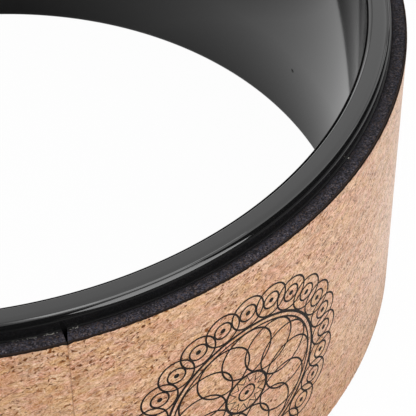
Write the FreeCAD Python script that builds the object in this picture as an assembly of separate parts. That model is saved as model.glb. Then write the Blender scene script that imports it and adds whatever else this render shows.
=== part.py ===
import FreeCAD, Part
import math
import os

# Yoga wheel lying on one rim. Lengths are in millimetres and angles in degrees.
# +Z runs along the wheel's axis, and the origin is the centre of the lower rim's plane.
# From the inside out: a rigid ring, double-sided tape, a foam strip, a glue film and a cork sheet.

# Whole wheel
overall_diameter = 330.0
overall_width = 130.0

# Layers, each laid on the one inside it
cork_thickness = 0.5
glue_thickness = 0.2
foam_thickness = 4.9
tape_thickness = 0.2
wrap_clearance = 0.1
ring_wall = 8.8

# Rims of the ring
rim_stand_out = 6.5
rim_rounding = 2.9
rim_shoulder = 0.4
bore_chamfer = 1.6

# Butt seam, where both ends of each wrapped layer meet
seam_azimuth = -82.0
seam_gap_at_ring = 1.7
seam_gap_at_cork = 0.4
seam_lean = 0.55
cork_seam_gap = 0.25

# Radii, worked inwards from the tread
tread_radius = overall_diameter / 2
cork_bed_radius = tread_radius - cork_thickness
foam_top_radius = cork_bed_radius - glue_thickness
foam_bed_radius = foam_top_radius - foam_thickness
tape_bed_radius = foam_bed_radius - tape_thickness
ring_outer_radius = tape_bed_radius - wrap_clearance
bore_radius = ring_outer_radius - ring_wall

# Width of the wrapped layers, between the two rims that stand out of them
cover_width = overall_width - 2 * rim_stand_out

half_share = math.sqrt(0.5)
origin = FreeCAD.Vector(0, 0, 0)
wheel_axis = FreeCAD.Vector(0, 0, 1)


def profile_point(radius, height):
    return FreeCAD.Vector(radius, 0, height)


def plan_point(radius, offset):
    """Point of the plan at this radius, offset sideways from the seam's centre line along +X."""
    return FreeCAD.Vector(math.sqrt(radius**2 - offset**2), offset, 0)


def rounded_rim_edge(upward):
    """Quarter arc from the flank's shoulder to the rim's face, on the upper (1) or lower (-1) rim."""
    centre_radius = ring_outer_radius - rim_shoulder - rim_rounding
    face_height = overall_width if upward > 0 else 0
    centre_height = face_height - upward * rim_rounding
    side = profile_point(centre_radius + rim_rounding, centre_height)
    middle = profile_point(
        centre_radius + rim_rounding * half_share,
        centre_height + upward * rim_rounding * half_share,
    )
    face = profile_point(centre_radius, face_height)
    return side, middle, face


def make_inner_ring():
    """Turned tube: a chamfer at the bore, and a rounding with a fine shoulder on the outside."""
    low_bore = profile_point(bore_radius, bore_chamfer)
    top_bore = profile_point(bore_radius, overall_width - bore_chamfer)
    low_chamfer = profile_point(bore_radius + bore_chamfer, 0)
    top_chamfer = profile_point(bore_radius + bore_chamfer, overall_width)
    low_rim = rounded_rim_edge(-1)
    top_rim = rounded_rim_edge(1)
    low_shoulder = profile_point(ring_outer_radius, rim_rounding)
    top_shoulder = profile_point(ring_outer_radius, overall_width - rim_rounding)
    edges = [
        Part.LineSegment(low_bore, top_bore),
        Part.LineSegment(top_bore, top_chamfer),
        Part.LineSegment(top_chamfer, top_rim[2]),
        Part.Arc(*reversed(top_rim)),
        Part.LineSegment(top_rim[0], top_shoulder),
        Part.LineSegment(top_shoulder, low_shoulder),
        Part.LineSegment(low_shoulder, low_rim[0]),
        Part.Arc(*low_rim),
        Part.LineSegment(low_rim[2], low_chamfer),
        Part.LineSegment(low_chamfer, low_bore),
    ]
    outline = Part.Wire([edge.toShape() for edge in edges])
    return Part.Face(outline).revolve(origin, wheel_axis, 360)


def make_wrapped_strip(bed_radius, thickness, gap_at_bed, gap_at_top, lean_at_bed=0, lean_at_top=0):
    """Strip bent once round the wheel. At its bed and at its top the ends stand apart by a gap,
    whose middle lies off the seam's centre line by the lean."""
    top_radius = bed_radius + thickness
    bed_start = plan_point(bed_radius, lean_at_bed + gap_at_bed / 2)
    bed_end = plan_point(bed_radius, lean_at_bed - gap_at_bed / 2)
    top_start = plan_point(top_radius, lean_at_top + gap_at_top / 2)
    top_end = plan_point(top_radius, lean_at_top - gap_at_top / 2)
    bed_opposite = FreeCAD.Vector(-bed_radius, 0, 0)
    top_opposite = FreeCAD.Vector(-top_radius, 0, 0)
    edges = [
        Part.Arc(bed_start, bed_opposite, bed_end),
        Part.LineSegment(bed_end, top_end),
        Part.Arc(top_end, top_opposite, top_start),
        Part.LineSegment(top_start, bed_start),
    ]
    outline = Part.Wire([edge.toShape() for edge in edges])
    strip = Part.Face(outline).extrude(FreeCAD.Vector(0, 0, cover_width))
    strip.translate(FreeCAD.Vector(0, 0, rim_stand_out))
    strip.rotate(origin, wheel_axis, seam_azimuth)
    return strip


def make_ring_tape():
    gap = seam_gap_at_ring
    return make_wrapped_strip(tape_bed_radius, tape_thickness, gap, gap, seam_lean, seam_lean)


def make_foam_strip():
    """The strip's ends are undercut, so the seam is a leaning notch that is wide at the ring."""
    return make_wrapped_strip(
        foam_bed_radius, foam_thickness, seam_gap_at_ring, seam_gap_at_cork, lean_at_bed=seam_lean
    )


def make_glue_film():
    """Its ends follow the foam's below and the cork's above."""
    return make_wrapped_strip(foam_top_radius, glue_thickness, seam_gap_at_cork, cork_seam_gap)


def make_cork_sheet():
    return make_wrapped_strip(cork_bed_radius, cork_thickness, cork_seam_gap, cork_seam_gap)


def main():
    nodes = {
        "inner_ring": make_inner_ring(),
        "ring_tape": make_ring_tape(),
        "foam_strip": make_foam_strip(),
        "glue_film": make_glue_film(),
        "cork_sheet": make_cork_sheet(),
    }
    os.makedirs("parts", exist_ok=True)
    for name, shape in nodes.items():
        shape.exportStep(f"parts/{name}.step")
        print(name, shape.ShapeType, "valid" if shape.isValid() else "not valid", round(shape.Volume), "mm3")


main()
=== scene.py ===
# Yoga wheel lying on one rim: gloss black ring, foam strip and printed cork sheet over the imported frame.
import math

import bmesh
import bpy
from mathutils import Matrix, Vector


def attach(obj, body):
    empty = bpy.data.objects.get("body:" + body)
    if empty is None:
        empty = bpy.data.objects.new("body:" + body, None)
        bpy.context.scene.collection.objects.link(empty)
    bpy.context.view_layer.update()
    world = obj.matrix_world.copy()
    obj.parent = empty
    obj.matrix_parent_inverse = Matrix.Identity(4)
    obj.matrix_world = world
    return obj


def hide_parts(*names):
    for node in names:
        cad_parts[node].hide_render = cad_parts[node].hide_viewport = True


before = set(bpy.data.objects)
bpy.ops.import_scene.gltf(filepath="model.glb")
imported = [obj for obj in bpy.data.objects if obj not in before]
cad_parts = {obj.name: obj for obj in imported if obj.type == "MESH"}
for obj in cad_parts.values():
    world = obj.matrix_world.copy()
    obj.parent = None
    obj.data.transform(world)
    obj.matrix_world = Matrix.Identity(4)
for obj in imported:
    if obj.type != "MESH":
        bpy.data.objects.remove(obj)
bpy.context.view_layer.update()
mm = 0.001
noiseSpan = (0.3, 0.7)       # where most of a noise's values lie
print("frame loaded:", sorted(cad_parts))


# sRGB hex to the linear colour that sockets take
def hexColour(text):
    parts = [int(text[i:i + 2], 16) / 255 for i in (1, 3, 5)]
    return tuple(p / 12.92 if p <= 0.04045 else ((p + 0.055) / 1.055) ** 2.4 for p in parts) + (1.0,)


# feeds a node's inputs with values, sockets, or nodes whose first live output is used
def feedNode(tree, node, feeds):
    for key, value in feeds.items():
        if isinstance(value, bpy.types.Node):
            value = next(out for out in value.outputs if out.enabled)
        if isinstance(value, bpy.types.NodeSocket):
            tree.links.new(value, node.inputs[key])
        else:
            node.inputs[key].default_value = value


# adds a node with its settings and feeds
def addNode(tree, kind, feeds=None, **settings):
    node = tree.nodes.new(kind)
    for name, value in settings.items():
        setattr(node, name, value)
    feedNode(tree, node, feeds or {})
    return node


# an arithmetic node: its operation and its values in order
def addMath(tree, operation, *values, **settings):
    return addNode(tree, "ShaderNodeMath", dict(enumerate(values)), operation=operation, **settings)


# the same for vectors
def addVector(tree, operation, *values):
    return addNode(tree, "ShaderNodeVectorMath", dict(enumerate(values)), operation=operation)


# a value carried over to one span from another, and held inside it
def addRange(tree, value, toSpan, fromSpan=(0.0, 1.0)):
    return addNode(tree, "ShaderNodeMapRange", {
        "Value": value, "From Min": fromSpan[0], "From Max": fromSpan[1],
        "To Min": toSpan[0], "To Max": toSpan[1]})


# a point from its coordinates
def addPoint(tree, x=0.0, y=0.0, z=0.0):
    return addNode(tree, "ShaderNodeCombineXYZ", {"X": x, "Y": y, "Z": z})


# a point at an angle and a radius about the wheel's axis
def addPolar(tree, angle, radius, height):
    x = addMath(tree, "MULTIPLY", addMath(tree, "COSINE", angle), radius)
    y = addMath(tree, "MULTIPLY", addMath(tree, "SINE", angle), radius)
    return addPoint(tree, x, y, height)


# the piece's own coordinates, in m
def addPlace(tree):
    return addNode(tree, "ShaderNodeTexCoord").outputs["Object"]


# noise of this size over a place
def addNoise(tree, place, size, detail, roughness=0.5):
    return addNode(tree, "ShaderNodeTexNoise", {
        "Vector": place, "Scale": 1 / size, "Detail": detail, "Roughness": roughness})


# two colours mixed by a share, plainly or by another rule
def mixColours(tree, share, first, second, rule="MIX"):
    mixed = addNode(tree, "ShaderNodeMix", {0: share, 6: first, 7: second}, data_type="RGBA", blend_type=rule)
    return mixed.outputs[2]


# relief from a height: a strength and a depth in mm
def addBump(tree, height, relief):
    strength, depth = relief
    return addNode(tree, "ShaderNodeBump", {"Strength": strength, "Distance": depth * mm, "Height": height})


# an empty material: its node tree and its surface shader
def startMaterial(name):
    material = bpy.data.materials.new(name)
    material.use_nodes = True
    tree = material.node_tree
    return material, tree, tree.nodes["Principled BSDF"]


# colours along a ramp, each given by its place and its name in the look
def addRamp(tree, value, look, steps):
    ramp = addNode(tree, "ShaderNodeValToRGB", {0: value})
    stops = ramp.color_ramp.elements
    stops.remove(stops[1])
    stops[0].color = hexColour(look[steps[0][1]])
    for position, key in steps[1:]:
        stops.new(position).color = hexColour(look[key])
    return ramp


# a Geometry Nodes tree with one named input for each size
def startTree(name, sizes):
    tree = bpy.data.node_groups.new(name, "GeometryNodeTree")
    tree.interface.new_socket("Geometry", in_out="OUTPUT", socket_type="NodeSocketGeometry")
    for label, value in sizes.items():
        kind = "NodeSocketInt" if isinstance(value, int) else "NodeSocketFloat"
        tree.interface.new_socket(label, in_out="INPUT", socket_type=kind)
    return tree, tree.nodes.new("NodeGroupInput").outputs


# several geometries in one
def joinParts(tree, parts):
    joined = addNode(tree, "GeometryNodeJoinGeometry")
    for part in parts:
        tree.links.new(part.outputs[0], joined.inputs[0])
    return joined


# ends a tree, runs it with these sizes and leaves a plain mesh at the origin
def bakePiece(name, tree, sizes, shape, material):
    realized = addNode(tree, "GeometryNodeRealizeInstances", {"Geometry": shape})
    coated = addNode(tree, "GeometryNodeSetMaterial", {"Geometry": realized, "Material": material})
    addNode(tree, "NodeGroupOutput", {"Geometry": coated})
    piece = bpy.data.objects.new(name, bpy.data.meshes.new(name))
    bpy.context.scene.collection.objects.link(piece)
    modifier = piece.modifiers.new("build", "NODES")
    modifier.node_group = tree
    for item in tree.interface.items_tree:
        if item.in_out == "INPUT":
            modifier[item.identifier] = sizes[item.name]
    graph = bpy.context.evaluated_depsgraph_get()
    mesh = bpy.data.meshes.new_from_object(piece.evaluated_get(graph))
    piece.modifiers.remove(modifier)
    piece.data = mesh
    return piece


# outward faces, and smooth shading that stops at edges sharper than the angle
def finishMesh(piece, sharpAngle):
    shell = bmesh.new()
    shell.from_mesh(piece.data)
    bmesh.ops.recalc_face_normals(shell, faces=shell.faces)
    shell.to_mesh(piece.data)
    shell.free()
    piece.data.shade_smooth()
    piece.data.set_sharp_from_angle(angle=math.radians(sharpAngle))
    print(piece.name, len(piece.data.polygons), "faces")


# the ring is one thick-walled moulding: a turned profile with rounded edges and a fine shoulder
ring = {
    "Bore Radius": 150.3 * mm,
    "Outer Radius": 159.1 * mm,
    "Half Width": 65.0 * mm,
    "Inner Rounding": 2.5 * mm,
    "Outer Rounding": 2.9 * mm,
    "Shoulder": 0.45 * mm,
    "Turn Steps": 480,
    "Rounding Steps": 12,
    "Weld": 0.002 * mm,
}
ringLook = {
    "black": "#0d0d0e", "dustGrey": "#161616",
    "roughness": 0.07, "roughnessSpread": 0.3,
    "ior": 1.52,
    "ripple": 24.0,                  # mm, slow waviness of the moulded skin
    "rippleRelief": (0.02, 0.2),     # strength, and depth in mm
    "dust": 0.9,                     # mm, fine unevenness of tone
}


# ABS, gloss, moulded: a deep black that shows the studio softly, with a faint slow ripple
def makeRingMaterial():
    look = ringLook
    material, tree, surface = startMaterial("gloss black moulded ABS")
    place = addPlace(tree)
    slow = addNoise(tree, place, look["ripple"] * mm, 2.0)
    fine = addNoise(tree, place, look["dust"] * mm, 3.0)
    low, high = [look["roughness"] * (1 + sign * look["roughnessSpread"]) for sign in (-1, 1)]
    feedNode(tree, surface, {
        "Base Color": mixColours(tree, fine, hexColour(look["black"]), hexColour(look["dustGrey"])),
        "Roughness": addRange(tree, slow, (low, high)),
        "IOR": look["ior"],
        "Normal": addBump(tree, slow, look["rippleRelief"]),
    })
    return material


def makeRing():
    tree, given = startTree("turned ring", ring)
    wall = addMath(tree, "SUBTRACT", given["Outer Radius"], given["Bore Radius"])
    lip = addMath(tree, "SUBTRACT", wall, given["Shoulder"])
    outerStart = addMath(tree, "SUBTRACT", lip, given["Outer Rounding"])
    outerLow = addMath(tree, "SUBTRACT", given["Half Width"], given["Outer Rounding"])
    innerLow = addMath(tree, "SUBTRACT", given["Half Width"], given["Inner Rounding"])
    # profile of the upper half: x runs outwards from the bore, y up from the middle
    boreTop = addPoint(tree, y=innerLow)
    rimInner = addPoint(tree, given["Inner Rounding"], given["Half Width"])
    rimOuter = addPoint(tree, outerStart, given["Half Width"])
    ledgeInner = addPoint(tree, lip, outerLow)
    ledgeOuter = addPoint(tree, wall, outerLow)
    flankMiddle = addPoint(tree, wall)
    innerCentre = addPoint(tree, given["Inner Rounding"], innerLow)
    outerCentre = addPoint(tree, outerStart, outerLow)
    lines = [
        addNode(tree, "GeometryNodeCurvePrimitiveLine", {"Start": start, "End": end})
        for start, end in (
            ((0, 0, 0), boreTop), (rimInner, rimOuter), (ledgeInner, ledgeOuter), (ledgeOuter, flankMiddle))]
    arcs = []
    for centre, size, first in ((innerCentre, "Inner Rounding", 90), (outerCentre, "Outer Rounding", 0)):
        arc = addNode(tree, "GeometryNodeCurveArc", {
            "Resolution": given["Rounding Steps"], "Radius": given[size],
            "Start Angle": math.radians(first), "Sweep Angle": math.radians(90)}, mode="RADIUS")
        arcs.append(addNode(tree, "GeometryNodeTransform", {
            "Geometry": arc.outputs["Curve"], "Translation": centre}))
    half = joinParts(tree, lines + arcs)
    mirrored = addNode(tree, "GeometryNodeTransform", {"Geometry": half, "Scale": (1, -1, 1)})
    profile = joinParts(tree, (half, mirrored))
    turn = addNode(tree, "GeometryNodeCurvePrimitiveCircle", {
        "Resolution": given["Turn Steps"], "Radius": given["Bore Radius"]})
    swept = addNode(tree, "GeometryNodeCurveToMesh", {"Curve": turn, "Profile Curve": profile})
    welded = addNode(tree, "GeometryNodeMergeByDistance", {"Geometry": swept, "Distance": given["Weld"]})
    lift = addPoint(tree, z=given["Half Width"])
    standing = addNode(tree, "GeometryNodeTransform", {"Geometry": welded, "Translation": lift})
    piece = bakePiece("ring", tree, ring, standing, makeRingMaterial())
    finishMesh(piece, 40)
    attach(piece, "root")
    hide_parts("inner_ring")


makeRing()


# the moulding's gate scar on the inner wall: a broken-off nub in a shallow collar
gate = {
    "azimuth": math.radians(20.06),
    "height": 29.7 * mm,
    # mm: from its axis, off the wall
    "profile": ((0.0, 0.10), (0.35, 0.13), (0.52, 0.02), (0.75, 0.06), (0.95, 0.0)),
    "steps": 20,
    "weld": 0.001 * mm,
}
gateLook = {
    "dark": "#161616", "light": "#262626",
    "tear": 0.2,                     # mm
    "relief": (0.5, 0.05),           # strength, and depth in mm
    "roughness": 0.5, "specular": 0.35,
}


# the scar is rough and dull, so it shows as a dark dot on the gloss
def makeGateMaterial():
    look = gateLook
    material, tree, surface = startMaterial("broken black ABS")
    torn = addNoise(tree, addPlace(tree), look["tear"] * mm, 2.0)
    feedNode(tree, surface, {
        "Base Color": mixColours(tree, torn, hexColour(look["dark"]), hexColour(look["light"])),
        "Roughness": look["roughness"],
        "Specular IOR Level": look["specular"],
        "Normal": addBump(tree, torn, look["relief"]),
    })
    return material


def makeGateScar():
    scar = bmesh.new()
    points = [scar.verts.new((r * mm, 0, h * mm)) for r, h in gate["profile"]]
    edges = [scar.edges.new(pair) for pair in zip(points, points[1:])]
    bmesh.ops.spin(scar, geom=points + edges, axis=(0, 0, 1), cent=(0, 0, 0),
                   angle=2 * math.pi, steps=gate["steps"], use_merge=True)
    bmesh.ops.remove_doubles(scar, verts=scar.verts, dist=gate["weld"])
    # its axis points at the wheel's own, out of the wall
    inward = Vector((-math.cos(gate["azimuth"]), -math.sin(gate["azimuth"]), 0))
    seat = -inward * ring["Bore Radius"] + Vector((0, 0, gate["height"]))
    scar.transform(Matrix.Translation(seat) @ inward.to_track_quat("Z", "Y").to_matrix().to_4x4())
    piece = bpy.data.objects.new("gateScar", bpy.data.meshes.new("gateScar"))
    bpy.context.scene.collection.objects.link(piece)
    scar.to_mesh(piece.data)
    scar.free()
    piece.data.materials.append(makeGateMaterial())
    finishMesh(piece, 30)
    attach(piece, "root")


makeGateScar()


# wrapped layers: a strip bent once round the ring, its ends meeting at the seam
seamAzimuth = math.radians(-82.0)
foam = {
    "Bed Radius": 159.4 * mm,
    "Top Radius": 164.3 * mm,
    "Low Edge": 6.5 * mm,
    "High Edge": 123.5 * mm,
    "Seam Azimuth": seamAzimuth,
    "Gap At Bed": 1.7 * mm,
    "Gap At Top": 0.4 * mm,
    "Gap Skew": 0.55 * mm,       # how far the notch leans along the strip
    "Steps Along": 1440,
    "Steps Through": 12,
    "Steps Across": 2,
    "Edge Drop": 0.35 * mm,      # how far the cut edge rounds down at its two sides
    "Edge Grain": 1.1 * mm,      # size of the cut's unevenness
    "Edge Roughness": 0.22 * mm,
    "Edge Wave": 0.0,            # how far the hand-trimmed edge swings
    "Wave Count": 3.0,
    "Wave Azimuth": 0.0,
    "Corner Drop": 0.0,          # how much is worn off the corners at the seam
    "Corner Share": 0.0015,      # of the strip's length
    "Seed": 3.0,
}
cork = {
    "Bed Radius": 164.5 * mm,
    "Top Radius": 165.0 * mm,
    "Low Edge": 6.5 * mm,
    "High Edge": 123.5 * mm,
    "Seam Azimuth": seamAzimuth,
    "Gap At Bed": 0.03 * mm,
    "Gap At Top": 0.03 * mm,
    "Gap Skew": 0.0,
    "Steps Along": 1900,
    "Steps Through": 3,
    "Steps Across": 14,
    "Edge Drop": 0.05 * mm,
    "Edge Grain": 1.6 * mm,
    "Edge Roughness": 0.5 * mm,
    "Edge Wave": 1.5 * mm,
    "Wave Count": 3.0,
    "Wave Azimuth": math.radians(-68.0),
    "Corner Drop": 0.5 * mm,
    "Corner Share": 0.0015,
    "Seed": 8.0,
}
sidePower = 6.0      # how late the cut edge begins to round down
rowPower = 41.0      # odd and high, so that only the outermost rows move, each with its own sign


def wrapLayer(name, sizes, material):
    tree, given = startTree("wrapped " + name, sizes)
    block = addNode(tree, "GeometryNodeMeshCube", {
        "Size": (1, 1, 1), "Vertices X": given["Steps Along"], "Vertices Y": given["Steps Through"],
        "Vertices Z": given["Steps Across"]})
    flat = addNode(tree, "ShaderNodeSeparateXYZ", {0: addNode(tree, "GeometryNodeInputPosition")}).outputs
    # shares along, through and across the strip, each 0 to 1
    along, through, across = [addMath(tree, "ADD", share, 0.5) for share in flat]
    radius = addRange(tree, through, (given["Bed Radius"], given["Top Radius"]))
    gap = addRange(tree, through, (given["Gap At Bed"], given["Gap At Top"]))
    gapAngle = addMath(tree, "DIVIDE", gap, radius)
    lean = addRange(tree, through, (given["Gap Skew"], 0.0))
    leanAngle = addMath(tree, "DIVIDE", lean, radius)
    middle = addMath(tree, "ADD", given["Seam Azimuth"], leanAngle)
    firstAngle = addMath(tree, "MULTIPLY_ADD", gapAngle, 0.5, middle)
    span = addMath(tree, "SUBTRACT", 2 * math.pi, gapAngle)
    angle = addMath(tree, "MULTIPLY_ADD", along, span, firstAngle)
    height = addRange(tree, across, (given["Low Edge"], given["High Edge"]))
    # the cut edges round down at their sides, and are a little uneven
    fromMiddle = addMath(tree, "MULTIPLY", flat[1], 2.0)
    drop = addMath(tree, "POWER", fromMiddle, sidePower)
    dropped = addMath(tree, "MULTIPLY", drop, given["Edge Drop"])
    around = addPolar(tree, angle, radius, height)
    grainScale = addMath(tree, "DIVIDE", 1.0, given["Edge Grain"])
    grain = addNode(tree, "ShaderNodeTexNoise", {
        "Vector": around, "W": given["Seed"], "Scale": grainScale, "Detail": 3.0, "Roughness": 0.6},
        noise_dimensions="4D")
    uneven = addRange(tree, grain, (0.0, given["Edge Roughness"]), noiseSpan)
    inward = addMath(tree, "ADD", dropped, uneven)
    # the trimmed edge swings slowly round the wheel
    fromCrest = addMath(tree, "SUBTRACT", angle, given["Wave Azimuth"])
    phase = addMath(tree, "MULTIPLY", fromCrest, given["Wave Count"])
    swing = addRange(tree, addMath(tree, "COSINE", phase), (0.0, given["Edge Wave"]), (1.0, -1.0))
    inward = addMath(tree, "ADD", inward, swing)
    # the corners at the seam are worn off over the last millimetre or so
    toEnd = addMath(tree, "PINGPONG", along, 0.5)
    corner = addRange(tree, toEnd, (given["Corner Drop"], 0.0), (0.0, given["Corner Share"]))
    inward = addMath(tree, "ADD", inward, corner)
    # only the outermost rows across the strip are moved, towards its middle
    side = addMath(tree, "MULTIPLY", flat[2], 2.0)
    edgeness = addMath(tree, "POWER", side, rowPower)
    shift = addMath(tree, "MULTIPLY", inward, edgeness)
    edgeHeight = addMath(tree, "SUBTRACT", height, shift)
    wrapped = addPolar(tree, angle, radius, edgeHeight)
    # the layer's own flat coordinates in mm, kept for its material: length, width, depth
    length = addMath(tree, "MULTIPLY", angle, given["Top Radius"])
    sheet = addPoint(tree, length, edgeHeight, radius)
    sheetMm = addNode(tree, "ShaderNodeVectorMath", {0: sheet, "Scale": 1 / mm}, operation="SCALE")
    noted = addNode(tree, "GeometryNodeStoreNamedAttribute", {
        "Geometry": block.outputs["Mesh"], "Name": "sheetMm", 3: sheetMm},
        data_type="FLOAT_VECTOR", domain="POINT")
    placed = addNode(tree, "GeometryNodeSetPosition", {"Geometry": noted, "Position": wrapped})
    piece = bakePiece(name, tree, sizes, placed, material)
    finishMesh(piece, 50)
    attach(piece, "root")
    return piece


# a layer's own flat coordinates in mm
def addSheet(tree):
    return addNode(tree, "ShaderNodeAttribute", attribute_name="sheetMm").outputs["Vector"]


# distance in mm along a layer from an azimuth, either way round
def addDistance(tree, along, layer, azimuth):
    away = addMath(tree, "SUBTRACT", along, azimuth * layer["Top Radius"] / mm)
    return addMath(tree, "PINGPONG", away, math.pi * layer["Top Radius"] / mm)


foamLook = {
    "dark": "#1b191c", "grey": "#363238", "blue": "#363845", "brown": "#4d3f38", "light": "#605a5e",
    "cell": 0.42,                        # mm
    "pitRelief": (0.6, 0.15),            # strength, and depth in mm
    "mottle": 1.6,                       # mm
    "mottleTones": (0.75, 1.25),
    "paintedShadeWidth": 2.3,                      # mm, width of the band of painted shade beside the ring
    "paintedShadeTones": (0.38, 1.0),
    # painted light and shade round the wheel: lighter on one stretch of the strip, darker further round
    "paintedLightAzimuth": math.radians(-66.0),
    "paintedLightReach": (15.0, 160.0),          # mm along the strip from there, over which painted light gives way to painted shade
    "paintedLightTones": (1.35, 0.62),
    "roughness": 0.9, "specular": 0.25, "ior": 1.45,
}


# EVA foam, closed cell, knife cut: matt charcoal with a fine many-coloured speckle of opened cells
# (drawn coarser than the real 0.2 mm)
def makeFoamMaterial():
    look = foamLook
    material, tree, surface = startMaterial("charcoal closed-cell EVA foam")
    place = addPlace(tree)
    cells = addNode(tree, "ShaderNodeTexVoronoi", {"Vector": place, "Scale": 1 / (look["cell"] * mm)})
    tint = addNode(tree, "ShaderNodeSeparateColor", {0: cells.outputs["Color"]})
    speckle = addRamp(tree, tint, look, (
        (0.0, "dark"), (0.3, "dark"), (0.5, "grey"), (0.68, "blue"), (0.82, "brown"), (0.9, "grey"),
        (1.0, "light")))
    mottled = addRange(tree, addNoise(tree, place, look["mottle"] * mm, 3.0), look["mottleTones"], noiseSpan)
    # painted shade: darker beside the ring, where the ring would shade the foam
    along, _, depth = addNode(tree, "ShaderNodeSeparateXYZ", {0: addSheet(tree)}).outputs
    bed = foam["Bed Radius"] / mm
    paintedShade = addRange(tree, depth, look["paintedShadeTones"], (bed, bed + look["paintedShadeWidth"]))
    # painted light and shade: lighter on one stretch of the strip, darker further round the wheel, where less
    # light falls
    toPaintedLight = addDistance(tree, along, foam, look["paintedLightAzimuth"])
    paintedLight = addRange(tree, toPaintedLight, look["paintedLightTones"], look["paintedLightReach"])
    # tone: random mottle, times painted shade beside the ring and painted light and shade round the wheel
    shade = addMath(tree, "MULTIPLY", addMath(tree, "MULTIPLY", mottled, paintedShade), paintedLight)
    feedNode(tree, surface, {
        "Base Color": mixColours(tree, 1.0, speckle, shade, "MULTIPLY"),
        "Roughness": look["roughness"],
        "IOR": look["ior"],
        "Specular IOR Level": look["specular"],
        "Normal": addBump(tree, cells.outputs["Distance"], look["pitRelief"]),
    })
    return material


foamPiece = wrapLayer("foamStrip", foam, makeFoamMaterial())
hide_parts("foam_strip")

corkLook = {
    "tan": "#ca9260", "rose": "#d59a7c", "ash": "#d2a98a", "straw": "#d5a36e", "pale": "#e7be97",
    "brown": "#ac7a4e", "mark": "#6b3a12", "stroke": "#864f22", "fleck": "#f2d2b6",
    "cutEdge": "#231b16", "seam": "#86502a",
    "wanderSize": 2.2, "wanderReach": (2.6, 2.2, 0.0),     # mm, how outlines wander
    "bigLong": 6.0, "bigWide": 3.0,          # mm, large chips
    "chipLong": 2.4, "chipWide": 1.2,        # mm, the chips between them
    "chipSoftness": 0.25,
    "tuftLong": 2.2, "tuftWide": 0.75,       # mm, light and dark tufts
    "tuftLean": 0.4,                         # how far they lean from the strip's length
    "tuftTones": (0.22, 0.78),
    "grain": 0.45,                           # mm, broken cells
    "grainTones": (-0.32, 0.32),
    "dimmed": (0.58, 0.48, 0.38, 1.0),       # what a dark tuft does to the colour
    "lifted": (1.3, 1.42, 1.54, 1.0),        # and a light one
    "crowding": 9.0,                         # mm, over which marks gather and thin out
    "crowdSpan": (0.35, 0.6), "crowdShares": (0.45, 1.0),
    "seamReach": (0.06, 0.4),                # mm from the seam, over which its brown fades
    "cutReach": (0.06, 0.01),                # mm under the face, over which the cut's dark colour fades
    "sealed": (0.02, 0.98), "unsealed": 0.05,     # gloss from dark to light tufts, and in marks
    "tuftRise": 1.5, "markSink": -1.2,       # relief beside the grain's
    "relief": (0.75, 0.3),                   # strength, and depth in mm
    "roughness": 0.32, "ior": 1.62,
}
# marks scattered over the cork, in mm: one to a cell at most, on this share of the cells, half as long and
# half as wide as given, leaning so far from the strip's length and turned up to this angle from there
corkMarks = {
    "flecks": {"cell": 2.2, "share": 0.5, "long": 0.9, "wide": 0.4, "lean": 0.3, "turn": 0.7, "soft": 0.5,
               "colour": "fleck", "depth": -0.4},
    "knots": {"cell": 5.0, "share": 0.6, "long": 1.3, "wide": 0.75, "lean": 0.3, "turn": 1.2, "soft": 0.4,
              "colour": "stroke", "depth": 0.6},
    "strokes": {"cell": 2.6, "share": 0.7, "long": 1.5, "wide": 0.4, "lean": 0.4, "turn": 0.5, "soft": 0.35,
                "colour": "stroke", "depth": 0.8},
    "nicks": {"cell": 1.7, "share": 0.6, "long": 0.9, "wide": 0.3, "lean": 0.4, "turn": 0.9, "soft": 0.35,
              "colour": "mark", "depth": 0.8},
    "pits": {"cell": 2.1, "share": 0.5, "long": 0.7, "wide": 0.5, "lean": 0.0, "turn": 3.0, "soft": 0.25,
             "colour": "mark", "depth": 1.0},
}


# share of the surface covered by marks of one kind, from 0 to 1, scattered over flat coordinates in mm
def scatterMarks(tree, place, marks, rank):
    cell = marks["cell"]
    # each kind is shifted, so that no two kinds share their cells
    spot = addVector(tree, "MULTIPLY_ADD", place, (1 / cell,) * 3, (17.0 * rank, 11.0 * rank, 0.0))
    cells = addNode(tree, "ShaderNodeTexVoronoi", {"Vector": spot, "Scale": 1.0}, voronoi_dimensions="2D")
    lot = addNode(tree, "ShaderNodeSeparateColor", {0: cells.outputs["Color"]}).outputs
    away = addVector(tree, "SUBTRACT", spot, cells.outputs["Position"])
    angle = addRange(tree, lot[1], (-marks["lean"] - marks["turn"], -marks["lean"] + marks["turn"]))
    turned = addNode(tree, "ShaderNodeVectorRotate", {"Vector": away, "Angle": angle}, rotation_type="Z_AXIS")
    scaled = addVector(tree, "MULTIPLY", turned, (cell / marks["long"], cell / marks["wide"], 0.0))
    reach = addVector(tree, "LENGTH", scaled).outputs["Value"]
    size = addRange(tree, lot[0], (1.0, 0.0), (0.0, marks["share"]))
    return addRange(tree, addMath(tree, "SUBTRACT", size, reach), (0.0, 1.0), (0.0, marks["soft"]))


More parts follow.
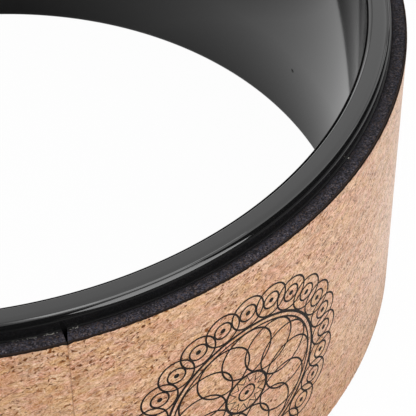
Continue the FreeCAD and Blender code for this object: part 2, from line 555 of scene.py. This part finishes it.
# agglomerated cork, sliced, sanded and sealed: a pale ground of rosy and straw-coloured chips, peppered with
# brown pits and short strokes and a few pale flecks, and sealed smooth enough to whiten at low angles
def makeCorkMaterial():
    look = corkLook
    material, tree, surface = startMaterial("sealed agglomerated cork")
    sheet = addSheet(tree)
    # outlines wander
    wander = addNoise(tree, sheet, look["wanderSize"], 2.5, 0.6)
    offset = addVector(tree, "SUBTRACT", wander.outputs["Color"], (0.5, 0.5, 0.5))
    bent = addVector(tree, "MULTIPLY_ADD", offset, look["wanderReach"], sheet)
    # two sizes of chips, each chip in its own tint
    tints = []
    for rank, (kind, steps) in enumerate((
        ("big", ((0.0, "tan"), (0.3, "rose"), (0.5, "ash"), (0.75, "straw"), (1.0, "pale"))),
        ("chip", (
            (0.0, "brown"), (0.2, "brown"), (0.35, "straw"), (0.55, "tan"), (0.75, "rose"), (1.0, "pale"))),
    )):
        size = (1 / look[kind + "Long"], 1 / look[kind + "Wide"], 0.0)
        spot = addVector(tree, "MULTIPLY_ADD", bent, size, (7.0 * rank, 3.0 * rank, 0.0))
        cells = addNode(tree, "ShaderNodeTexVoronoi", {
            "Vector": spot, "Scale": 1.0, "Smoothness": look["chipSoftness"]},
            voronoi_dimensions="2D", feature="SMOOTH_F1")
        lot = addNode(tree, "ShaderNodeSeparateColor", {0: cells.outputs["Color"]})
        tints.append(addRamp(tree, lot, look, steps))
    coat = mixColours(tree, 0.5, tints[0], tints[1])
    # tufts, and the broken cells of the sanded face
    leaning = addNode(tree, "ShaderNodeVectorRotate", {
        "Vector": bent, "Angle": -look["tuftLean"]}, rotation_type="Z_AXIS")
    spot = addVector(tree, "MULTIPLY", leaning, (1 / look["tuftLong"], 1 / look["tuftWide"], 0.0))
    tufts = addNoise(tree, spot, 1.0, 2.0)
    grain = addNoise(tree, bent, look["grain"], 2.0, 0.6)
    tuftShade = addRange(tree, tufts, look["tuftTones"], noiseSpan)
    grainShade = addRange(tree, grain, look["grainTones"], noiseSpan)
    lightness = addMath(tree, "ADD", tuftShade, grainShade)
    shade = mixColours(tree, lightness, look["dimmed"], look["lifted"])
    coat = mixColours(tree, 1.0, coat, shade, "MULTIPLY")
    # marks gather in some places and thin out in others
    crowd = addNoise(tree, sheet, look["crowding"], 1.0)
    strength = addRange(tree, crowd, look["crowdShares"], look["crowdSpan"])
    sunk = 0.0
    torn = 0.0
    for rank, marks in enumerate(corkMarks.values()):
        share = addMath(tree, "MULTIPLY", scatterMarks(tree, bent, marks, rank), strength)
        coat = mixColours(tree, share, coat, hexColour(look[marks["colour"]]))
        sunk = addMath(tree, "MULTIPLY_ADD", share, marks["depth"], sunk)
        torn = addMath(tree, "MAXIMUM", share, torn)
    # the butted ends are brown in places
    along, _, depth = addNode(tree, "ShaderNodeSeparateXYZ", {0: sheet}).outputs
    toSeam = addDistance(tree, along, cork, cork["Seam Azimuth"])
    seamNear = addRange(tree, toSeam, (1.0, 0.0), look["seamReach"])
    seamShare = addMath(tree, "MULTIPLY", seamNear, wander, use_clamp=True)
    coat = mixColours(tree, seamShare, coat, hexColour(look["seam"]))
    # the cut round the sheet is coloured dark and dull
    face = cork["Top Radius"] / mm
    cutShare = addRange(tree, depth, (1.0, 0.0), [face - under for under in look["cutReach"]])
    coat = mixColours(tree, cutShare, coat, hexColour(look["cutEdge"]))
    # the seal is missing in marks, at the seam and on the cut
    torn = addMath(tree, "MAXIMUM", torn, seamShare)
    bare = addMath(tree, "MAXIMUM", cutShare, torn)
    smooth = addRange(tree, lightness, look["sealed"], noiseSpan)
    # relief: tufts and grain stand up, marks are sunk
    raised = addMath(tree, "MULTIPLY_ADD", tufts, look["tuftRise"], grain)
    relief = addMath(tree, "MULTIPLY_ADD", sunk, look["markSink"], raised)
    feedNode(tree, surface, {
        "Base Color": coat,
        "Roughness": look["roughness"],
        "IOR": look["ior"],
        "Specular IOR Level": addNode(tree, "ShaderNodeMix", {0: bare, 2: smooth, 3: look["unsealed"]}),
        "Normal": addBump(tree, relief, look["relief"]),
    })
    return material


corkPiece = wrapLayer("corkSheet", cork, makeCorkMaterial())
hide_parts("cork_sheet")


# crumbs of dried glue on the foam's inner edge, beside the seam, and one stray crumb further round
crumbs = {
    "First Azimuth": math.radians(-87.6),
    "Notch Left": math.radians(-82.55),
    "Notch Right": math.radians(-81.25),
    "Last Azimuth": math.radians(-80.1),
    "Left Share": 0.7,
    "Count": 40,
    "Radius": 159.75 * mm,
    "Scatter": 0.3 * mm,
    "Height": 123.35 * mm,
    "Smallest": 0.07 * mm,
    "Largest": 0.2 * mm,
    "Roundness": 2,
    "Stray Azimuth": math.radians(-39.15),
    "Stray Size": 0.3 * mm,
    "Seed": 9,
}
crumbLook = {
    "grey": "#5f5d5a", "pale": "#aeaba3",
    "spot": 0.5,                     # mm
    "roughness": 0.5,
}


# contact glue, dried in drops: pale, a little yellow, dull
def makeCrumbMaterial():
    look = crumbLook
    material, tree, surface = startMaterial("dried glue")
    spots = addNoise(tree, addPlace(tree), look["spot"] * mm, 1.0)
    feedNode(tree, surface, {
        "Base Color": mixColours(tree, spots, hexColour(look["grey"]), hexColour(look["pale"])),
        "Roughness": look["roughness"],
    })
    return material


# a random number for each point, between two bounds
def addRandom(tree, low, high, seed):
    drawn = addNode(tree, "FunctionNodeRandomValue", {2: low, 3: high, "Seed": seed}, data_type="FLOAT")
    return drawn.outputs[1]


def makeCrumbs():
    tree, given = startTree("glue crumbs", crumbs)
    row = addNode(tree, "GeometryNodePoints", {"Count": given["Count"]})
    # two rows, one on each side of the notch
    turns = [
        addRandom(tree, given[first], given[last], given["Seed"])
        for first, last in (("First Azimuth", "Notch Left"), ("Notch Right", "Last Azimuth"))]
    order = addMath(tree, "DIVIDE", addNode(tree, "GeometryNodeInputIndex"), given["Count"])
    onRight = addMath(tree, "GREATER_THAN", order, given["Left Share"])
    turn = addNode(tree, "ShaderNodeMix", {0: onRight, 2: turns[0], 3: turns[1]})
    lower = addMath(tree, "SUBTRACT", given["Radius"], given["Scatter"])
    upper = addMath(tree, "ADD", given["Radius"], given["Scatter"])
    reach = addRandom(tree, lower, upper, addMath(tree, "ADD", given["Seed"], 1.0))
    seat = addPolar(tree, turn, reach, given["Height"])
    seated = addNode(tree, "GeometryNodeSetPosition", {"Geometry": row, "Position": seat})
    size = addRandom(tree, given["Smallest"], given["Largest"], given["Seed"])
    drop = addNode(tree, "GeometryNodeMeshIcoSphere", {"Radius": 1.0, "Subdivisions": given["Roundness"]})
    drops = addNode(tree, "GeometryNodeInstanceOnPoints", {
        "Points": seated, "Instance": drop.outputs["Mesh"], "Scale": size})
    straySeat = addPolar(tree, given["Stray Azimuth"], given["Radius"], given["Height"])
    straySize = addPoint(tree, given["Stray Size"], given["Stray Size"], given["Stray Size"])
    stray = addNode(tree, "GeometryNodeTransform", {
        "Geometry": drop.outputs["Mesh"], "Translation": straySeat, "Scale": straySize})
    piece = bakePiece("glueCrumbs", tree, crumbs, joinParts(tree, (drops, stray)), makeCrumbMaterial())
    finishMesh(piece, 60)
    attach(piece, "root")


makeCrumbs()


# the print is a compass-drawn rosette of plain circles, laid on the cork as thin ink ribbons
rosette = {
    "Tread Radius": 165.0 * mm,
    "Azimuth": math.radians(-60.2),
    "Height": 63.0 * mm,
    "Ink Thickness": 0.04 * mm,
    "Thin Line": 0.72 * mm,
    "Bold Line": 1.1 * mm,
    "Wreath Circles": 24,
    "Wreath Radius": 6.6 * mm,
    "Wreath Centre": 39.4 * mm,
    "Bead Circles": 24,
    "Bead Radius": 3.3 * mm,
    "Bead Centre": 39.4 * mm,
    "Petal Circles": 12,
    "Petal Radius": 10.6 * mm,
    "Petal Centre": 19.4 * mm,
    "Outer Ring": 32.2 * mm,
    "Middle Ring": 30.2 * mm,
    "Inner Ring": 8.8 * mm,
    "Heart Ring": 3.4 * mm,
    "Ring Steps": 180,
    "Circle Steps": 72,
    "Star Points": 12,
    "Star Valley": 5.0 * mm,
    "Star Tip": 8.4 * mm,
    "Dot Radius": 1.0 * mm,
    "Dot Steps": 20,
}
layerStep = 0.002 * mm       # each layer of ink lies a hair above the one before, so no two faces coincide
inkLook = {
    "ink": "#120e0c", "worn": "#33231a",
    "grain": 1.3,                    # mm
    "wornSpan": (0.48, 0.72),        # where in the grain the ink wears thin
    "relief": (0.3, 0.08),           # strength, and depth in mm
    "roughness": 0.6, "specular": 0.1,
}


# screen-printing ink on cork: near black, soaked in, thinner where the cork's grain stands up
def makeInkMaterial():
    look = inkLook
    material, tree, surface = startMaterial("screen-printed black ink")
    grain = addNoise(tree, addPlace(tree), look["grain"] * mm, 4.0, 0.65)
    worn = addRange(tree, grain, (0.0, 1.0), look["wornSpan"])
    feedNode(tree, surface, {
        "Base Color": mixColours(tree, worn, hexColour(look["ink"]), hexColour(look["worn"])),
        "Roughness": look["roughness"],
        "Specular IOR Level": look["specular"],
        "Normal": addBump(tree, grain, look["relief"]),
    })
    return material


def makeRosette():
    tree, given = startTree("ink rosette", rosette)
    thin, bold = [
        addNode(tree, "GeometryNodeCurvePrimitiveQuadrilateral", {
            "Width": given[width], "Height": given["Ink Thickness"]})
        for width in ("Thin Line", "Bold Line")]
    layers = []
    # plain rings about the centre, from the outside in
    for size, line in (
            ("Outer Ring", bold), ("Middle Ring", thin), ("Inner Ring", bold), ("Heart Ring", thin)):
        circle = addNode(tree, "GeometryNodeCurvePrimitiveCircle", {
            "Resolution": given["Ring Steps"], "Radius": given[size]})
        layers.append(addNode(tree, "GeometryNodeCurveToMesh", {"Curve": circle, "Profile Curve": line}))
    star = addNode(tree, "GeometryNodeCurveStar", {
        "Points": given["Star Points"],
        "Inner Radius": given["Star Valley"], "Outer Radius": given["Star Tip"]})
    layers.append(addNode(tree, "GeometryNodeCurveToMesh", {
        "Curve": star.outputs["Curve"], "Profile Curve": thin}))
    # wreaths of circles
    for kind in ("Wreath", "Bead", "Petal"):
        circle = addNode(tree, "GeometryNodeCurvePrimitiveCircle", {
            "Resolution": given["Circle Steps"], "Radius": given[kind + " Radius"]})
        ribbon = addNode(tree, "GeometryNodeCurveToMesh", {"Curve": circle, "Profile Curve": thin})
        seats = addNode(tree, "GeometryNodeMeshCircle", {
            "Vertices": given[kind + " Circles"], "Radius": given[kind + " Centre"]})
        layers.append(addNode(tree, "GeometryNodeInstanceOnPoints", {"Points": seats, "Instance": ribbon}))
    # a dot in each bead and one at the heart
    dot = addNode(tree, "GeometryNodeMeshCylinder", {
        "Vertices": given["Dot Steps"], "Radius": given["Dot Radius"], "Depth": given["Ink Thickness"]})
    dotSeats = addNode(tree, "GeometryNodeMeshCircle", {
        "Vertices": given["Bead Circles"], "Radius": given["Bead Centre"]})
    dots = addNode(tree, "GeometryNodeInstanceOnPoints", {
        "Points": dotSeats, "Instance": dot.outputs["Mesh"]})
    layers += [dots, dot]
    raised = [
        addNode(tree, "GeometryNodeTransform", {
            "Geometry": layer.outputs[0], "Translation": (0, 0, layerStep * rank)})
        for rank, layer in enumerate(layers)]
    whole = addNode(tree, "GeometryNodeRealizeInstances", {"Geometry": joinParts(tree, raised)})
    # bend the flat drawing round the tread
    flat = addNode(tree, "ShaderNodeSeparateXYZ", {0: addNode(tree, "GeometryNodeInputPosition")}).outputs
    turn = addMath(tree, "DIVIDE", flat[0], given["Tread Radius"])
    angle = addMath(tree, "ADD", turn, given["Azimuth"])
    radius = addMath(tree, "ADD", flat[2], given["Tread Radius"])
    height = addMath(tree, "ADD", flat[1], given["Height"])
    wrapped = addPolar(tree, angle, radius, height)
    placed = addNode(tree, "GeometryNodeSetPosition", {"Geometry": whole, "Position": wrapped})
    piece = bakePiece("inkRosette", tree, rosette, placed, makeInkMaterial())
    finishMesh(piece, 30)
    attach(piece, "root")


makeRosette()

# the films under the layers keep their CAD solids and get materials
tapeLook = {
    "dark": "#121213", "light": "#1f1f20",
    "drawLines": (60, 60, 1250),     # to the m: long round the wheel, 0.8 mm across
    "roughness": 0.4,
}
glueLook = {
    "dark": "#211b18", "light": "#3b2e28",
    "brush": 1.5,                    # mm
    "roughness": 0.8, "specular": 0.1,
}


# polyester tape, calendered: smooth and black with fine draw lines round the wheel
def makeTapeMaterial():
    look = tapeLook
    material, tree, surface = startMaterial("black double-sided polyester tape")
    lines = addNode(tree, "ShaderNodeMapping", {"Vector": addPlace(tree), "Scale": look["drawLines"]})
    draw = addNoise(tree, lines, 1.0, 2.0)
    feedNode(tree, surface, {
        "Base Color": mixColours(tree, draw, hexColour(look["dark"]), hexColour(look["light"])),
        "Roughness": look["roughness"],
    })
    return material


# contact adhesive, brushed on: dull dark brown, uneven
def makeGlueMaterial():
    look = glueLook
    material, tree, surface = startMaterial("brushed amber contact glue")
    coat = addNoise(tree, addPlace(tree), look["brush"] * mm, 3.0)
    feedNode(tree, surface, {
        "Base Color": mixColours(tree, coat, hexColour(look["dark"]), hexColour(look["light"])),
        "Roughness": look["roughness"],
        "Specular IOR Level": look["specular"],
    })
    return material


for nodeName, material in (("ring_tape", makeTapeMaterial()), ("glue_film", makeGlueMaterial())):
    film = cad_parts[nodeName]
    film.data.materials.clear()
    film.data.materials.append(material)
print("films coated")


# studio: white floor, soft boxes, and dark and bright cards that only the gloss sees
studio = {
    "floorHalf": 4.0,                # m
    "floorCamera": 0.975, "floorColour": "#f0f0f0",
    "worldFill": 0.27,
    # the floor as the gloss sees it: where its glow sets in from the left, the glow's level inside the
    # ring and outside, and the shade near a wall
    "glowEdge": (30 * mm, 85 * mm),
    "glowLevels": (0.86, 1.3), "ringEdge": (140 * mm, 180 * mm),
    "shadeReach": (5 * mm, 58 * mm), "shadeShare": 0.52,
    "cardBlack": "#0a0a0a",
    "cardLift": 1 * mm,              # off the floor
}
# each soft box: place, point it faces, direction of its width, width, height, brightness
softBoxes = {
    "overhead": ((0.95, 0.60, 1.80), (0.55, 0.33, 0.13), (1.0, 0.0, 0.0), 3.6, 3.0, 0.72),
    "frontHigh": ((0.729, -0.850, 1.2535), (0.04, -0.14, 0.13), (0.838, 0.511, -0.193), 1.16, 0.56, 3.5),
    "frontHighLeft": ((0.32, -1.05, 1.30), (0.02, -0.155, 0.13), (0.9, 0.4, -0.1), 0.45, 0.5, 1.6),
    "frontFill": ((0.631, -1.418, 0.385), (0.0, 0.0, 0.385), (0.914, 0.407, 0.0), 1.4, 0.72, 2.68),
}
# cards that only the gloss sees stand on arcs about the wheel: brightness, radius in m, radius where the
# card's part on the floor begins (or None), and points along it (azimuth in degrees, then lower and upper
# edge in m)
cards = {
    "front": (5.0, 0.45, None, (
        (-75.5, 0.135, 0.155), (-72, 0.085, 0.19), (-69, 0.04, 0.225), (-64, 0, 0.25), (-54, 0, 0.225),
        (-48, 0, 0.19), (-43, 0, 0.13), (-38, 0, 0.05))),
    "frontFloor": (0.1, 0.44, 0.30, ((-78, 0, 0.002), (-48, 0, 0.002))),
    "right": (0.0, 0.46, 0.30, (
        (-48, 0, 0.31), (-40, 0, 0.29), (-32, 0, 0.27), (-16, 0, 0.225), (0, 0, 0.155), (8, 0, 0.095),
        (16, 0, 0.03), (22, 0, 0.01))),
    "rightHigh": (2.05, 1.1, None, (
        (-39, 0.55, 1.25), (-31, 0.4, 1.25), (-18, 0.15, 1.0), (-6, 0.15, 0.66), (5, 0.15, 0.52))),
    "rightMid": (1.45, 1.1, None, ((5, 0.15, 0.52), (14, 0.15, 0.42), (24, 0.15, 0.32))),
    "rightFoot": (1.1, 0.48, 0.18, ((22, 0, 0.001), (40, 0, 0.001), (75, 0, 0.001))),
    "rightFloor": (0.52, 3.0, 0.48, ((22, 0, 0.45), (40, 0, 0.3), (50, 0, 0.1), (75, 0, 0.01))),
    "frontBehind": (0.0, 0.455, None, (
        (-78, 0, 0.29), (-70, 0, 0.27), (-62, 0, 0.25), (-53.5, 0, 0.225), (-46, 0, 0.2), (-39, 0, 0.18))),
    "left": (0.0, 0.45, 0.30, ((-120, 0, 0.30), (-100, 0, 0.30), (-78, 0, 0.29))),
    "back": (0.0, 1.0, None, (
        (86.5, 0, 0.53), (90.5, 0, 0.51), (96.5, 0, 0.34), (103.5, 0, 0.225), (110, 0, 0.08))),
    "backStrip": (3.3, 1.0, None, ((84, 0.56, 0.74), (90.5, 0.54, 0.72), (94.5, 0.43, 0.63))),
    "backRight": (1.6, 1.0, None, (
        (94.5, 0.43, 0.75), (99.5, 0.32, 0.75), (104, 0.28, 0.75), (110, 0.25, 0.75), (118, 0.20, 0.75))),
}


def makeBackdrop():
    world = bpy.data.worlds.new("studio")
    bpy.context.scene.world = world
    world.use_nodes = True
    tree = world.node_tree
    path = addNode(tree, "ShaderNodeLightPath").outputs
    seen = addMath(tree, "ADD", path["Is Camera Ray"], path["Is Glossy Ray"])
    seen = addMath(tree, "ADD", seen, path["Is Transmission Ray"], use_clamp=True)
    feedNode(tree, tree.nodes["Background"], {
        "Color": (1, 1, 1, 1), "Strength": addRange(tree, seen, (studio["worldFill"], 1.0))})


# matt white floor that glows evenly to the camera and, in part, to the gloss
def makeFloor():
    material, tree = startMaterial("white studio floor")[:2]
    path = addNode(tree, "ShaderNodeLightPath").outputs
    gloss = addMath(tree, "ADD", path["Is Glossy Ray"], path["Is Transmission Ray"], use_clamp=True)
    fromLeft = addNode(tree, "ShaderNodeSeparateXYZ", {0: addPlace(tree)}).outputs[0]
    glowShare = addMath(tree, "MULTIPLY", gloss, addRange(tree, fromLeft, (0.0, 1.0), studio["glowEdge"]))
    glowShare = addMath(tree, "MULTIPLY_ADD", path["Is Camera Ray"], studio["floorCamera"], glowShare)
    nearShade = addRange(tree, path["Ray Length"], (studio["shadeShare"], 1.0), studio["shadeReach"])
    level = addRange(tree, fromLeft, studio["glowLevels"], studio["ringEdge"])
    level = addRange(tree, gloss, (1.0, addMath(tree, "MULTIPLY", level, nearShade)))
    glow = addNode(tree, "ShaderNodeEmission", {"Color": (1, 1, 1, 1), "Strength": level})
    shade = addRange(tree, gloss, (1.0, nearShade))
    paint = addNode(tree, "ShaderNodeVectorMath", {
        0: hexColour(studio["floorColour"])[:3], "Scale": shade}, operation="SCALE")
    matt = addNode(tree, "ShaderNodeBsdfDiffuse", {"Color": paint})
    both = addNode(tree, "ShaderNodeMixShader", {0: glowShare, 1: matt, 2: glow})
    feedNode(tree, tree.nodes["Material Output"], {"Surface": both})
    half = studio["floorHalf"]
    floorMesh = bpy.data.meshes.new("floor")
    floorMesh.from_pydata(
        [(-half, -half, 0), (half, -half, 0), (half, half, 0), (-half, half, 0)], [], [(0, 1, 2, 3)])
    floorMesh.materials.append(material)
    floor = bpy.data.objects.new("floor", floorMesh)
    bpy.context.scene.collection.objects.link(floor)


def makeSoftBox(name, place, target, across, width, height, brightness):
    lampData = bpy.data.lights.new(name, "AREA")
    lampData.shape = "RECTANGLE"
    lampData.size, lampData.size_y = width, height
    lampData.energy = brightness * math.pi * width * height
    lamp = bpy.data.objects.new(name, lampData)
    bpy.context.scene.collection.objects.link(lamp)
    back = (Vector(place) - Vector(target)).normalized()
    rise = back.cross(Vector(across)).normalized()
    turn = Matrix((rise.cross(back), rise, back)).transposed()
    lamp.matrix_world = Matrix.Translation(place) @ turn.to_4x4()
    lamp.visible_camera = False


def makeCard(name, brightness, radius, floorFrom, edge):
    material, tree, surface = startMaterial(name + " card")
    feedNode(tree, surface, {
        "Base Color": hexColour(studio["cardBlack"]), "Specular IOR Level": 0.0,
        "Emission Color": (1, 1, 1, 1), "Emission Strength": brightness})
    corners, faces = [], []
    for azimuth, low, high in edge:
        a = math.radians(azimuth)
        for reach, height in ((floorFrom or radius, 0.0), (radius, low), (radius, high)):
            corners.append((reach * math.cos(a), reach * math.sin(a), height + studio["cardLift"]))
    for i in range(0, len(corners) - 3, 3):
        faces.append((i + 1, i + 4, i + 5, i + 2))
        if floorFrom:
            faces.append((i, i + 3, i + 4, i + 1))
    cardMesh = bpy.data.meshes.new(name + "Card")
    cardMesh.from_pydata(corners, [], faces)
    cardMesh.materials.append(material)
    card = bpy.data.objects.new(name + "Card", cardMesh)
    bpy.context.scene.collection.objects.link(card)
    card.visible_camera = card.visible_diffuse = card.visible_shadow = card.visible_transmission = False


makeBackdrop()
makeFloor()
for boxName, box in softBoxes.items():
    makeSoftBox(boxName, *box)
for cardName, cardShape in cards.items():
    makeCard(cardName, *cardShape)
print("studio set")

# camera, from the fit of the rims in the photograph (416 x 416)
view = {
    "lens": 159.83, "sensor": 36.0,      # mm
    "place": (0.0, -0.526218, 0.539606),
    "right": (0.9831723591, -0.1826213490, -0.0046427484),
    "down": (-0.1321212679, -0.6932860476, -0.7084478998),
    "ahead": (0.1261589585, 0.6971397988, -0.7057478432),
}


def makeCamera():
    cameraData = bpy.data.cameras.new("photoCamera")
    cameraData.lens = view["lens"]
    cameraData.sensor_width = view["sensor"]
    camera = bpy.data.objects.new("photoCamera", cameraData)
    bpy.context.scene.collection.objects.link(camera)
    axes = Matrix((view["right"], -Vector(view["down"]), -Vector(view["ahead"]))).transposed()
    camera.matrix_world = Matrix.Translation(view["place"]) @ axes.to_4x4()
    bpy.context.scene.camera = camera
    bpy.context.scene.view_settings.view_transform = "Standard"


makeCamera()
